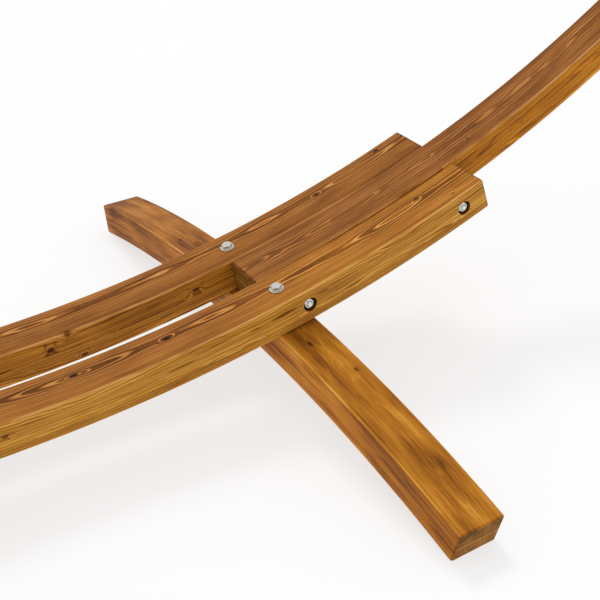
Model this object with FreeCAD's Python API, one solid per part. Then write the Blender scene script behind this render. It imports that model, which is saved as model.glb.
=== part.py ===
"""Arched timber hammock stand, in millimetres.

Two laminated side beams curve along X and stand on two arched cross feet. An arm of the same
curved stock is clamped between the beams at each end and carries an eye bolt and a snap hook.
+Z is up, X runs along the stand, -Y is its front, and the origin is on the ground at its centre.
"""

import math
import os

import FreeCAD
import Part

Vector = FreeCAD.Vector
Y_AXIS = Vector(0, 1, 0)

# Curved laminated stock: every timber is cut from it
TIMBER_WIDTH = 80.0
TIMBER_DEPTH = 60.0
INNER_RADIUS = 2400.0
OUTER_RADIUS = INNER_RADIUS + TIMBER_DEPTH
MIDDLE_RADIUS = INNER_RADIUS + TIMBER_DEPTH / 2
EDGE_ROUND = 3.0
END_ROUND = 1.5

# Lay-out of the stand
OVERALL_LENGTH = 4000.0
SIDE_GAP = 0.3
BEAM_OFFSET = TIMBER_WIDTH + SIDE_GAP
BEAM_OUTER_Y = BEAM_OFFSET + TIMBER_WIDTH / 2
BEAM_END_ANGLE = 20.3
ARM_START_ANGLE = 10.73
ARM_PITCH = 0.5
ARM_RAISE = 1.3
ARM_BOLT_ANGLES = (11.45, 19.15)
FOOT_BOLT_ANGLE = 10.63

# Cross feet
FOOT_X = 463.0
FOOT_CHORD = 1158.0
FOOT_GROUND_CUT = 3.5
FOOT_SEAT_DEPTH = 2.0
FOOT_HALF_ANGLE = math.degrees(math.asin(FOOT_CHORD / 2 / OUTER_RADIUS))
FOOT_TOP_Z = OUTER_RADIUS - INNER_RADIUS * math.cos(math.radians(FOOT_HALF_ANGLE)) - FOOT_GROUND_CUT
FOOT_TOP_AT_BEAM = FOOT_TOP_Z - OUTER_RADIUS + math.sqrt(OUTER_RADIUS**2 - BEAM_OFFSET**2)

# The beams' bend centre stands where their lower faces bite into the feet's inner top edges
FOOT_INNER_X = FOOT_X - TIMBER_WIDTH / 2
BEND_CENTRE_Z = (FOOT_TOP_AT_BEAM - FOOT_SEAT_DEPTH
                 + math.sqrt(OUTER_RADIUS**2 - FOOT_INNER_X**2))

# Fasteners: nominal radius, width across flats, head height, nut height, washer radius, washer thickness
M10_WIDE = {"r": 5.0, "flats": 16.0, "head": 6.4, "nut": 8.4, "washer_r": 12.0, "washer_t": 2.0}
M10 = {"r": 5.0, "flats": 17.0, "head": 6.4, "nut": 8.4, "washer_r": 10.5, "washer_t": 2.0}
THREAD_CLEARANCE = 0.05
HOLE_CLEARANCE = 0.5
SPOT_FACE = 0.5
POCKET_RADIUS = 12.5
POCKET_DEPTH = 14.0
FOOT_POCKET_RADIUS = 15.0
FOOT_NUT_SEAT = OUTER_RADIUS + 44.0

# Eye bolt near each arm's tip
EYE_FROM_TIP = 110.0
EYE_RING_RADIUS = 17.0
EYE_WIRE_RADIUS = 5.0
EYE_HEIGHT = 28.0

# Snap hook: a round wire bent to a pear, with a gate along one straight side
HOOK_WIRE_RADIUS = 4.0
CROWN_RADIUS = 10.0
BOWL_RADIUS = 14.0
HOOK_REACH = 79.0
BODY_STUB = 3.0
GATE_GAP = 0.6
PIVOT_FROM_STUB = 5.0
TONGUE_THICKNESS = 3.0
SLOT_THICKNESS = 3.6
PIN_RADIUS = 1.5
PIN_CLEARANCE = 0.05
SPRING_RADIUS = 1.5
SPRING_WIRE_RADIUS = 0.3
HOOK_REST_GAP = 0.3


def radial(angle):
    """The unit vector from a bend centre towards a timber, angle degrees from straight down."""
    a = math.radians(angle)
    return Vector(math.sin(a), 0, -math.cos(a))


def turned(vector, degrees):
    """A vector turned about +Y."""
    return FreeCAD.Rotation(Y_AXIS, degrees).multVec(vector)


BEND_CENTRE = Vector(0, 0, BEND_CENTRE_Z)
ARM_BOLT_POINTS = [BEND_CENTRE + radial(a) * MIDDLE_RADIUS for a in ARM_BOLT_ANGLES]
ARM_PIVOT = ARM_BOLT_POINTS[0]
ARM_CENTRE = (ARM_PIVOT + turned(BEND_CENTRE - ARM_PIVOT, -ARM_PITCH)
              - radial(ARM_BOLT_ANGLES[0]) * ARM_RAISE)
ARM_TIP_ANGLE = math.degrees(math.asin((OVERALL_LENGTH / 2 - ARM_CENTRE.x) / OUTER_RADIUS))
EYE_ANGLE = ARM_TIP_ANGLE - math.degrees(EYE_FROM_TIP / MIDDLE_RADIUS)
EYE_CENTRE = ARM_CENTRE + radial(EYE_ANGLE) * (INNER_RADIUS - EYE_HEIGHT)


def placed(shape, place):
    """A copy of a shape, turned and moved on top of the place that it already has."""
    moved = shape.copy()
    moved.Placement = place.multiply(shape.Placement)
    return moved


def aligned(shape, origin, direction):
    """A shape modelled along +Z, moved to an origin with +Z turned to a direction."""
    return placed(shape, FreeCAD.Placement(origin, FreeCAD.Rotation(Vector(0, 0, 1), direction)))


def cylinder(radius, start, direction, length):
    """A round bar from a start point along a direction."""
    return Part.makeCylinder(radius, length, start, direction)


def round_long_edges(solid, radius, end_radius):
    """Rounds a timber's four long arrises and the arrises round its two sawn ends."""
    arcs = [e for e in solid.Edges if isinstance(e.Curve, Part.Circle)]
    rounded = solid.makeFillet(radius, arcs)
    ends = [f for f in rounded.Faces
            if isinstance(f.Surface, Part.Plane) and abs(f.Area - TIMBER_WIDTH * TIMBER_DEPTH) < 100]
    rims = [e for f in ends for e in f.Edges]
    return rounded.makeFillet(end_radius, rims)


def curved_timber(centre, start, end, low_y, high_y):
    """A square-edged length of curved stock in the XZ plane between two angles."""
    corners = [centre + radial(start) * r + Vector(0, y, 0)
               for r, y in ((INNER_RADIUS, low_y), (OUTER_RADIUS, low_y),
                            (OUTER_RADIUS, high_y), (INNER_RADIUS, high_y))]
    section = Part.Face(Part.makePolygon(corners + corners[:1]))
    return section.revolve(centre, -Y_AXIS, end - start)


def side_beam(front):
    """One side beam: front is -1 for the beam with the nuts and +1 for the beam with the heads."""
    inner_y = front * (BEAM_OFFSET - TIMBER_WIDTH / 2)
    low_y, high_y = sorted((inner_y, front * BEAM_OUTER_Y))
    beam = round_long_edges(curved_timber(BEND_CENTRE, -BEAM_END_ANGLE, BEAM_END_ANGLE, low_y, high_y),
                            EDGE_ROUND, END_ROUND)
    for side in (1, -1):
        for point in ARM_BOLT_POINTS:
            centre = Vector(side * point.x, front * BEAM_OUTER_Y, point.z)
            inward = Y_AXIS * -front
            beam = beam.cut(cylinder(POCKET_RADIUS, centre, inward, POCKET_DEPTH))
            beam = beam.cut(cylinder(M10["r"] + HOLE_CLEARANCE, centre, inward, TIMBER_WIDTH + 1))
        down = radial(side * FOOT_BOLT_ANGLE)
        top = BEND_CENTRE + down * INNER_RADIUS + Y_AXIS * (front * BEAM_OFFSET)
        beam = beam.cut(cylinder(M10_WIDE["washer_r"] + HOLE_CLEARANCE, top - down, down, SPOT_FACE + 1))
        beam = beam.cut(cylinder(M10_WIDE["r"] + HOLE_CLEARANCE, top - down, down, TIMBER_DEPTH + 2))
    return beam


def right_arm():
    """The right arm, pitched up a little about its lower bolt."""
    half = TIMBER_WIDTH / 2
    arm = round_long_edges(curved_timber(ARM_CENTRE, ARM_START_ANGLE, ARM_TIP_ANGLE, -half, half),
                           EDGE_ROUND, END_ROUND)
    for point in ARM_BOLT_POINTS:
        start = point - Y_AXIS * (half + 1)
        arm = arm.cut(cylinder(M10["r"] + HOLE_CLEARANCE, start, Y_AXIS, TIMBER_WIDTH + 2))
    out = radial(EYE_ANGLE)
    face = ARM_CENTRE + out * INNER_RADIUS
    back = ARM_CENTRE + out * OUTER_RADIUS
    arm = arm.cut(cylinder(M10["r"] + HOLE_CLEARANCE, face - out, out, TIMBER_DEPTH + 2))
    arm = arm.cut(cylinder(M10["washer_r"] + HOLE_CLEARANCE, face - out, out, SPOT_FACE + 1))
    return arm.cut(cylinder(POCKET_RADIUS, back + out, -out, POCKET_DEPTH + 1))


def right_foot():
    """The right cross foot: level, arched in the YZ plane, and cut where the beams and arm sit."""
    centre = Vector(FOOT_X, 0, FOOT_TOP_Z - OUTER_RADIUS)
    a = math.radians(FOOT_HALF_ANGLE)
    half = TIMBER_WIDTH / 2
    section = Part.Face(Part.makePolygon([
        centre + Vector(x, -math.sin(a) * r, math.cos(a) * r)
        for x, r in ((-half, INNER_RADIUS), (-half, OUTER_RADIUS), (half, OUTER_RADIUS),
                     (half, INNER_RADIUS), (-half, INNER_RADIUS))]))
    foot = round_long_edges(section.revolve(centre, Vector(-1, 0, 0), 2 * FOOT_HALF_ANGLE),
                            EDGE_ROUND, END_ROUND)
    below = Part.makeBox(TIMBER_WIDTH + 2, FOOT_CHORD + 100, 100,
                         Vector(FOOT_X - half - 1, -FOOT_CHORD / 2 - 50, -100))
    seat = curved_timber(BEND_CENTRE, 0, BEAM_END_ANGLE, -BEAM_OUTER_Y - SIDE_GAP, BEAM_OUTER_Y + SIDE_GAP)
    foot = foot.cut(below).cut(seat)
    down = radial(FOOT_BOLT_ANGLE)
    for y in (-BEAM_OFFSET, BEAM_OFFSET):
        axis_foot = BEND_CENTRE + Y_AXIS * y
        foot = foot.cut(cylinder(M10_WIDE["r"] + HOLE_CLEARANCE, axis_foot + down * (OUTER_RADIUS - 30), down, 150))
        foot = foot.cut(cylinder(FOOT_POCKET_RADIUS, axis_foot + down * FOOT_NUT_SEAT, down, 80))
    return foot


def hexagon(flats, height):
    """A hexagonal prism along +Z."""
    corner = flats / math.sqrt(3)
    points = [Vector(corner * math.cos(math.radians(60 * i)), corner * math.sin(math.radians(60 * i)), 0)
              for i in range(6)]
    return Part.Face(Part.makePolygon(points + points[:1])).extrude(Vector(0, 0, height))


def corner_cone(flats, height, base_radius, slope=30.0):
    """The cone that turns a hexagon's upper corners off at a slope, standing on z = 0."""
    top_radius = flats / 2 * 0.98
    rise = (base_radius - top_radius) * math.tan(math.radians(slope))
    body = Part.makeCylinder(base_radius, height - rise)
    return body.fuse(Part.makeCone(base_radius, top_radius, rise, Vector(0, 0, height - rise)))


def hex_bolt(size, grip):
    """A hex bolt with its head above z = 0 and its shank reaching down to z = -grip."""
    head = hexagon(size["flats"], size["head"]).common(corner_cone(size["flats"], size["head"], size["flats"] * 0.58))
    point = 1.2
    shank = Part.makeCylinder(size["r"], grip - point, Vector(0, 0, point - grip))
    end = Part.makeCone(size["r"] - point, size["r"], point, Vector(0, 0, -grip))
    return head.fuse(shank).fuse(end).removeSplitter()


def hex_nut(size):
    """A hex nut standing on z = 0, chamfered on both faces."""
    body = hexagon(size["flats"], size["nut"])
    cone = corner_cone(size["flats"], size["nut"], size["flats"] * 0.58)
    flipped = cone.mirror(Vector(0, 0, size["nut"] / 2), Vector(0, 0, 1))
    bore = Part.makeCylinder(size["r"] + THREAD_CLEARANCE, size["nut"])
    mouth = 0.6
    entry = Part.makeCone(size["r"] + mouth, size["r"] + THREAD_CLEARANCE, mouth - THREAD_CLEARANCE)
    exit_cone = entry.mirror(Vector(0, 0, size["nut"] / 2), Vector(0, 0, 1))
    return body.common(cone).common(flipped).cut(bore).cut(entry).cut(exit_cone)


def washer(size):
    """A flat washer standing on z = 0, with its upper rim broken."""
    ring = Part.makeCylinder(size["washer_r"], size["washer_t"])
    rim = [e for e in ring.Edges if isinstance(e.Curve, Part.Circle) and e.BoundBox.ZMin > size["washer_t"] / 2]
    ring = ring.makeFillet(0.5, rim)
    return ring.cut(Part.makeCylinder(size["r"] + 0.5, size["washer_t"]))


def foot_fasteners():
    """The two bolts that pin the beams down on the right foot, with their washers and nuts."""
    down = radial(FOOT_BOLT_ANGLE)
    top_seat = INNER_RADIUS + SPOT_FACE
    head_seat = top_seat - M10_WIDE["washer_t"]
    nut_seat = FOOT_NUT_SEAT + M10_WIDE["washer_t"]
    bolt = hex_bolt(M10_WIDE, nut_seat + M10_WIDE["nut"] + 3 - head_seat)
    groups = {"foot_bolts": [], "foot_bolt_washers": [], "foot_nut_washers": [], "foot_nuts": []}
    for y in (-BEAM_OFFSET, BEAM_OFFSET):
        axis_foot = BEND_CENTRE + Y_AXIS * y
        groups["foot_bolts"].append(aligned(bolt, axis_foot + down * head_seat, -down))
        groups["foot_bolt_washers"].append(aligned(washer(M10_WIDE), axis_foot + down * top_seat, -down))
        groups["foot_nut_washers"].append(aligned(washer(M10_WIDE), axis_foot + down * FOOT_NUT_SEAT, down))
        groups["foot_nuts"].append(aligned(hex_nut(M10_WIDE), axis_foot + down * nut_seat, down))
    return groups


def arm_fasteners():
    """The two bolts that clamp the right arm between the beams, heads at the back and nuts in front."""
    seat = BEAM_OUTER_Y - POCKET_DEPTH
    head_seat = seat + M10["washer_t"]
    bolt = hex_bolt(M10, 2 * head_seat + M10["nut"] + 2.5)
    groups = {"arm_bolts": [], "arm_bolt_washers": [], "arm_nut_washers": [], "arm_nuts": []}
    for point in ARM_BOLT_POINTS:
        groups["arm_bolts"].append(aligned(bolt, point + Y_AXIS * head_seat, Y_AXIS))
        groups["arm_bolt_washers"].append(aligned(washer(M10), point + Y_AXIS * seat, Y_AXIS))
        groups["arm_nut_washers"].append(aligned(washer(M10), point - Y_AXIS * seat, -Y_AXIS))
        groups["arm_nuts"].append(aligned(hex_nut(M10), point - Y_AXIS * head_seat, -Y_AXIS))
    return groups


def eye_hardware():
    """The right eye bolt, its two washers and its nut."""
    out = radial(EYE_ANGLE)
    face_seat = INNER_RADIUS + SPOT_FACE
    collar_seat = face_seat - M10["washer_t"]
    back_seat = OUTER_RADIUS - POCKET_DEPTH
    nut_seat = back_seat + M10["washer_t"]
    ring = Part.makeTorus(EYE_RING_RADIUS, EYE_WIRE_RADIUS, EYE_CENTRE, Y_AXIS)
    collar_start = INNER_RADIUS - EYE_HEIGHT + EYE_RING_RADIUS + 2.5
    collar = aligned(Part.makeCone(M10["r"] - 1, M10["r"] + 2.5, collar_seat - collar_start),
                     ARM_CENTRE + out * collar_start, out)
    shank_end = nut_seat + M10["nut"] + 2.5
    shank = cylinder(M10["r"], ARM_CENTRE + out * (collar_seat - 1), out, shank_end - collar_seat + 1)
    washers = [aligned(washer(M10), ARM_CENTRE + out * face_seat, -out),
               aligned(washer(M10), ARM_CENTRE + out * back_seat, out)]
    return {"eye_bolt": [ring.fuse(collar).fuse(shank).removeSplitter()],
            "eye_washers": washers,
            "eye_nut": [aligned(hex_nut(M10), ARM_CENTRE + out * nut_seat, out)]}


# The snap hook is drawn flat: u runs from the eye's centre down the hook, v towards the gate, w through it
CROWN_U = EYE_RING_RADIUS
BOWL_U = HOOK_REACH - BOWL_RADIUS
FLARE = math.asin((BOWL_RADIUS - CROWN_RADIUS) / (BOWL_U - CROWN_U))
SIDE_LENGTH = (BOWL_U - CROWN_U) * math.cos(FLARE)


def along_side(distance, side, offset=0.0):
    """A point on the hook's straight side, a distance below the crown, offset outwards."""
    reach = CROWN_RADIUS + offset
    u = CROWN_U - reach * math.sin(FLARE) + distance * math.cos(FLARE)
    v = reach * math.cos(FLARE) + distance * math.sin(FLARE)
    return Vector(u, side * v, 0)


def hook_plane_angle():
    """How far the hook turns from lying along the arm's face until its bowl rests on it."""
    clear = HOOK_WIRE_RADIUS + HOOK_REST_GAP
    bowl_rise = HOOK_REACH**2 / (2 * INNER_RADIUS)
    return math.degrees(math.asin((EYE_HEIGHT - clear - bowl_rise) / HOOK_REACH))


# HOOK_PLACE takes the flat drawing to the hook hanging from the right eye, against the arm.
# GATE_PLACE takes what is drawn along +X to the hook's gate side.
HANG = turned(radial(EYE_ANGLE), 90 - hook_plane_angle())
HOOK_PLACE = FreeCAD.Placement(EYE_CENTRE, FreeCAD.Rotation(HANG, Y_AXIS, Vector(), "XYZ"))
GATE_PLACE = FreeCAD.Placement(along_side(0, 1), FreeCAD.Rotation(Vector(0, 0, 1), math.degrees(FLARE)))


def tongue(start, end, low_v, high_v):
    """A flat tongue on the hook's wire, drawn along the gate side."""
    return Part.makeBox(end - start, high_v - low_v, TONGUE_THICKNESS,
                        Vector(start, low_v, -TONGUE_THICKNESS / 2))


PIVOT = BODY_STUB + PIVOT_FROM_STUB
GATE_START = PIVOT - HOOK_WIRE_RADIUS
NOSE = SIDE_LENGTH - BODY_STUB
GATE_END = NOSE - GATE_GAP


def hook_body():
    """The bent wire with a tongue at each end: one takes the gate's pin and one meets its free end."""
    start, end = along_side(BODY_STUB, 1), along_side(NOSE, 1)
    crown_top = Vector(CROWN_U - CROWN_RADIUS, 0, 0)
    bowl_bottom = Vector(HOOK_REACH, 0, 0)
    path = Part.Wire([
        Part.makeLine(start, along_side(0, 1)),
        Part.Arc(along_side(0, 1), crown_top, along_side(0, -1)).toShape(),
        Part.makeLine(along_side(0, -1), along_side(SIDE_LENGTH, -1)),
        Part.Arc(along_side(SIDE_LENGTH, -1), bowl_bottom, along_side(SIDE_LENGTH, 1)).toShape(),
        Part.makeLine(along_side(SIDE_LENGTH, 1), end)])
    direction = along_side(0, 1) - start
    section = Part.Wire(Part.Circle(start, direction, HOOK_WIRE_RADIUS).toShape())
    wire = path.makePipeShell([section], True, False)
    pivot_tongue = tongue(BODY_STUB - 1, PIVOT, -3, 3).fuse(
        Part.makeCylinder(3, TONGUE_THICKNESS, Vector(PIVOT, 0, -TONGUE_THICKNESS / 2)))
    hole = Part.makeCylinder(PIN_RADIUS, TONGUE_THICKNESS + 2, Vector(PIVOT, 0, -TONGUE_THICKNESS / 2 - 1))
    nose_tongue = tongue(NOSE - 4, NOSE + 1, -2.2, 3)
    for shape in (pivot_tongue, nose_tongue):
        wire = wire.fuse(placed(shape, GATE_PLACE))
    return wire.cut(placed(hole, GATE_PLACE))


def hook_gate():
    """The gate: a round bar, slotted over both tongues, bored for its pin and spring."""
    r = HOOK_WIRE_RADIUS
    bar = Part.makeCylinder(r, GATE_END - PIVOT, Vector(PIVOT, 0, 0), Vector(1, 0, 0))
    heel = Part.makeCylinder(r, PIVOT - GATE_START, Vector(GATE_START, 0, 0), Vector(1, 0, 0))
    heel = heel.common(Part.makeCylinder(r, 2 * r, Vector(PIVOT, 0, -r)))
    gate = bar.fuse(heel)
    half_slot = SLOT_THICKNESS / 2
    gate = gate.cut(Part.makeBox(9.6, 2 * r + 2, SLOT_THICKNESS, Vector(GATE_START - 1, -r - 1, -half_slot)))
    gate = gate.cut(Part.makeBox(6, r + 3.6, SLOT_THICKNESS, Vector(GATE_END - 5, -2.6, -half_slot)))
    gate = gate.cut(Part.makeCylinder(PIN_RADIUS + PIN_CLEARANCE, 2 * r + 2, Vector(PIVOT, 0, -r - 1)))
    return placed(gate.cut(spring_bore()), GATE_PLACE)


def spring_bore():
    """The blind hole along the gate that holds its spring."""
    start = PIVOT + HOOK_WIRE_RADIUS
    return Part.makeCylinder(SPRING_RADIUS + 2 * SPRING_WIRE_RADIUS, 17, Vector(start, 0, 0), Vector(1, 0, 0))


def gate_pin():
    """The rivet that the gate turns on, domed at both ends."""
    length = 2 * HOOK_WIRE_RADIUS - 1
    pin = Part.makeCylinder(PIN_RADIUS, length, Vector(PIVOT, 0, -length / 2))
    rims = [e for e in pin.Edges if isinstance(e.Curve, Part.Circle)]
    return placed(pin.makeFillet(0.4, rims), GATE_PLACE)


def gate_spring():
    """The coil spring inside the gate."""
    turns = 11
    pitch = 1.5
    helix = Part.makeHelix(pitch, pitch * turns, SPRING_RADIUS)
    section = Part.Wire(Part.Circle(Vector(SPRING_RADIUS, 0, 0), Vector(0, 1, 0), SPRING_WIRE_RADIUS).toShape())
    coil = Part.Wire(helix.Edges).makePipeShell([section], True, True)
    start = Vector(PIVOT + HOOK_WIRE_RADIUS, 0, 0)
    return placed(aligned(coil, start, Vector(1, 0, 0)), GATE_PLACE)


def snap_hook():
    """The right snap hook's pieces in place."""
    drawn = {"hook_body": hook_body(), "hook_gate": hook_gate(),
             "hook_gate_pin": gate_pin(), "hook_gate_spring": gate_spring()}
    return {name: [placed(shape, HOOK_PLACE)] for name, shape in drawn.items()}


def mirrored(shape):
    """A right-hand piece's left-hand twin."""
    return shape.mirror(Vector(0, 0, 0), Vector(1, 0, 0))


def nodes():
    """Every named piece of the stand as a list of solids."""
    made = {"front_side_beam": [side_beam(-1)], "back_side_beam": [side_beam(1)]}
    right = {"arm": [right_arm()], "foot": [right_foot()]}
    for group in (foot_fasteners(), arm_fasteners(), eye_hardware(), snap_hook()):
        right.update(group)
    for name, solids in right.items():
        made["right_" + name] = solids
        made["left_" + name] = [mirrored(s) for s in solids]
    return made


def main():
    os.makedirs("parts", exist_ok=True)
    for name, solids in sorted(nodes().items()):
        shape = solids[0] if len(solids) == 1 else Part.makeCompound(solids)
        shape.exportStep(os.path.join("parts", name + ".step"))
        box = shape.BoundBox
        print(f"{name}: {len(shape.Solids)} solid(s), valid {shape.isValid()}, volume {shape.Volume:.0f}, "
              f"{box.XLength:.1f} x {box.YLength:.1f} x {box.ZLength:.1f}, lowest {box.ZMin:.2f}")
    print(f"bend centre z {BEND_CENTRE_Z:.3f}, arm centre {ARM_CENTRE}, tip angle {ARM_TIP_ANGLE:.3f}")
    print(f"eye centre {EYE_CENTRE}, eye angle {EYE_ANGLE:.3f}, hook hangs along {HANG}")
    print(f"gate pivot {HOOK_PLACE.multVec(GATE_PLACE.multVec(Vector(PIVOT, 0, 0)))}")


main()
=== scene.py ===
"""Looks of the arched larch hammock stand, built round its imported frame, in metres."""

import math

import bmesh
import bpy
from bpy.props import FloatProperty, FloatVectorProperty, IntProperty, PointerProperty
from mathutils import Euler, Matrix, Vector


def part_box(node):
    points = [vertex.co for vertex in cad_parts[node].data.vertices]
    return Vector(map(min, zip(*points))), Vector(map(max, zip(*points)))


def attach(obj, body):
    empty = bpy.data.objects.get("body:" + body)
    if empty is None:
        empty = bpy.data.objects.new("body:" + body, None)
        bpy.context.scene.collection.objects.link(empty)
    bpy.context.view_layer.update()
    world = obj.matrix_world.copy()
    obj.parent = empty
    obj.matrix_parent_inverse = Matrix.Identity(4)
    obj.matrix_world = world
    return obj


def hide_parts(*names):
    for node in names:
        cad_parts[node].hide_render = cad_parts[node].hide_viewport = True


bl_info = {
    "name": "Arched hammock stand",
    "version": (1, 0, 0),
    "blender": (4, 5, 0),
    "location": "3D View > Sidebar > Hammock stand",
    "description": "Laminated larch hammock stand with its bolts, eye bolts and snap hooks",
    "category": "Add Mesh",
}

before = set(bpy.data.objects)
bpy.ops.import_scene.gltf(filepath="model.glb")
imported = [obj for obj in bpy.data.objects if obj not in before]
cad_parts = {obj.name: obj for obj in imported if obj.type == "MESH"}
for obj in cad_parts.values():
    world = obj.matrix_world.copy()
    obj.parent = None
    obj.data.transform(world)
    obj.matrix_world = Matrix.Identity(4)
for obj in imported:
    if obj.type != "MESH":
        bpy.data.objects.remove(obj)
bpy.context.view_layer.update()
Y_AXIS = Vector((0, 1, 0))
Z_AXIS = Vector((0, 0, 1))
SIDES = {"right": 1, "left": -1}


# Sizes and colours that a user would change

def length(name, description, metres):
    """A length property."""
    return FloatProperty(name=name, description=description, default=metres, unit="LENGTH")


def angle(name, description, degrees):
    """An angle property."""
    return FloatProperty(name=name, description=description, default=math.radians(degrees), unit="ROTATION")


def colour(name, description, value):
    """A colour property, linear."""
    return FloatVectorProperty(name=name, description=description, subtype="COLOR", size=3, default=value)


class TimberSizes(bpy.types.PropertyGroup):
    """The curved laminated stock that every timber is cut from."""
    width: length("Width", "Across the bend", 0.08)
    depth: length("Depth", "Through the laminations", 0.06)
    bend: length("Bend radius", "To the hollow face", 2.4)
    edge_round: length("Edge round", "Radius of the long arrises", 0.003)
    end_round: length("End round", "Radius of the sawn ends' arrises", 0.0032)
    ring_step: length("Ring step", "Length of one run of faces along the bend", 0.012)
    laminations: IntProperty(name="Laminations", description="Boards glued through the depth", default=4)


class StandSizes(bpy.types.PropertyGroup):
    """Where the timbers lie. Angles are measured at a bend's centre, from straight down."""
    side_gap: length("Side gap", "Between an arm and a side beam", 0.0003)
    beam_end: angle("Beam end", "Angle to a side beam's end", 20.3)
    arm_start: angle("Arm start", "Angle to an arm's lower end", 10.73)
    arm_pitch: angle("Arm pitch", "An arm's turn about its lower bolt", 0.5)
    arm_raise: length("Arm raise", "An arm's rise at its lower bolt", 0.0013)
    low_bolt: angle("Low bolt", "Angle to an arm's lower bolt", 11.45)
    high_bolt: angle("High bolt", "Angle to an arm's upper bolt", 19.15)
    foot_bolt: angle("Foot bolt", "Angle to a foot's bolts", 10.63)
    foot_chord: length("Foot chord", "Between a foot's top end corners", 1.158)
    ground_cut: length("Ground cut", "Trimmed off a foot's lower corners", 0.0035)
    seat_depth: length("Seat depth", "How far the beams are let into a foot", 0.002)
    overall: length("Overall length", "From arm tip to arm tip", 4.0)
    eye_from_tip: length("Eye from tip", "Along an arm, from its tip to its eye bolt", 0.11)
    eye_rise: length("Eye rise", "From an arm's hollow face to its eye's centre", 0.028)


class HardwareSizes(bpy.types.PropertyGroup):
    """Bolts, nuts and washers."""
    hole_play: length("Hole play", "Between a bolt and its hole", 0.0005)
    spot_face: length("Spot face", "How far a washer is let in", 0.0005)
    pocket_radius: length("Pocket radius", "Of a recess for an M10 nut or head", 0.0125)
    pocket_depth: length("Pocket depth", "Of a recess for an M10 nut or head", 0.014)
    foot_pocket_radius: length("Foot pocket radius", "Of a recess under a foot", 0.015)
    pocket_chamfer: length("Pocket chamfer", "Broken off a recess's mouth", 0.0006)
    foot_nut_seat: length("Foot nut seat", "Below a side beam's lower face", 0.044)
    eye_radius: length("Eye radius", "To the middle of an eye bolt's wire", 0.017)


class FinishColours(bpy.types.PropertyGroup):
    """Stained larch and zinc plate."""
    straw: colour("Straw", "The lightest lines of the grain", (0.72, 0.40, 0.10))
    gold: colour("Gold", "Light bands", (0.52, 0.225, 0.028))
    honey: colour("Honey", "Most of the stained surface", (0.35, 0.130, 0.013))
    russet: colour("Russet", "Dark bands", (0.135, 0.044, 0.006))
    knot: colour("Knot", "A knot's heart and the recesses", (0.020, 0.008, 0.003))
    # knot also colours the recesses' walls and floors, as painted shade.
    zinc: colour("Zinc", "Plated bolts, nuts and washers", (0.70, 0.71, 0.69))
    steel: colour("Bright steel", "Snap hooks and springs", (0.62, 0.62, 0.63))
    floor: colour("Floor", "The plain pale floor", (0.92, 0.92, 0.92))


SETTINGS = {
    "timber": TimberSizes,
    "stand": StandSizes,
    "hardware": HardwareSizes,
    "finish": FinishColours,
}

# A bolt's radius and pitch, its head and nut across flats and their heights, its washer's radius and
# thickness. The foot bolts have smaller heads on wider washers.
M10 = {"r": 0.005, "pitch": 0.0015, "flats": 0.017, "head": 0.0064, "nut": 0.0084,
       "washer_r": 0.0105, "washer_t": 0.002}
M10_WIDE = {**M10, "flats": 0.016, "washer_r": 0.012}

PAST_FACE = 0.001               # how far a cutter reaches beyond the wood
THREAD_DEPTH = 0.00045
THREAD_POINT = 0.0012           # length and depth of the chamfer at a bolt's end
NEAR_AXIS = 0.0003              # radius of the smallest ring of a turned solid
BEYOND_NUT = 0.0025             # length of thread that shows past an arm bolt's or eye bolt's nut
CHAMFER_SLOPE = math.tan(math.radians(30))
METAL_EDGE = math.radians(28)   # a sharper bend than this is drawn as a crisp edge
END_GRAIN_TINT = (0.90, 1.20, 3.6)
BOX_TOLERANCE = 0.0015          # how far a piece's box may be from its nodes' boxes


def settings(name):
    """One of the scene's property groups."""
    return getattr(bpy.context.scene, "hammock_stand_" + name)


# Node trees

class Value:
    """A socket in an expression. Its operators add Math nodes to its tree."""

    def __init__(self, tree, socket):
        self.tree = tree
        self.socket = socket

    def of(self, output):
        """Another output of the same node."""
        return Value(self.tree, self.socket.node.outputs[output])

    def __add__(self, other):
        return self.tree.math("ADD", self, other)

    def __sub__(self, other):
        return self.tree.math("SUBTRACT", self, other)

    def __mul__(self, other):
        return self.tree.math("MULTIPLY", self, other)

    def __truediv__(self, other):
        return self.tree.math("DIVIDE", self, other)

    def __rsub__(self, other):
        return self.tree.math("SUBTRACT", other, self)

    def __lt__(self, other):
        return self.tree.math("LESS_THAN", self, other)

    def __gt__(self, other):
        return self.tree.math("GREATER_THAN", self, other)

    def __abs__(self):
        return self.tree.math("ABSOLUTE", self)

    def __neg__(self):
        return self.tree.math("MULTIPLY", self, -1)

    __radd__ = __add__
    __rmul__ = __mul__


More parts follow.
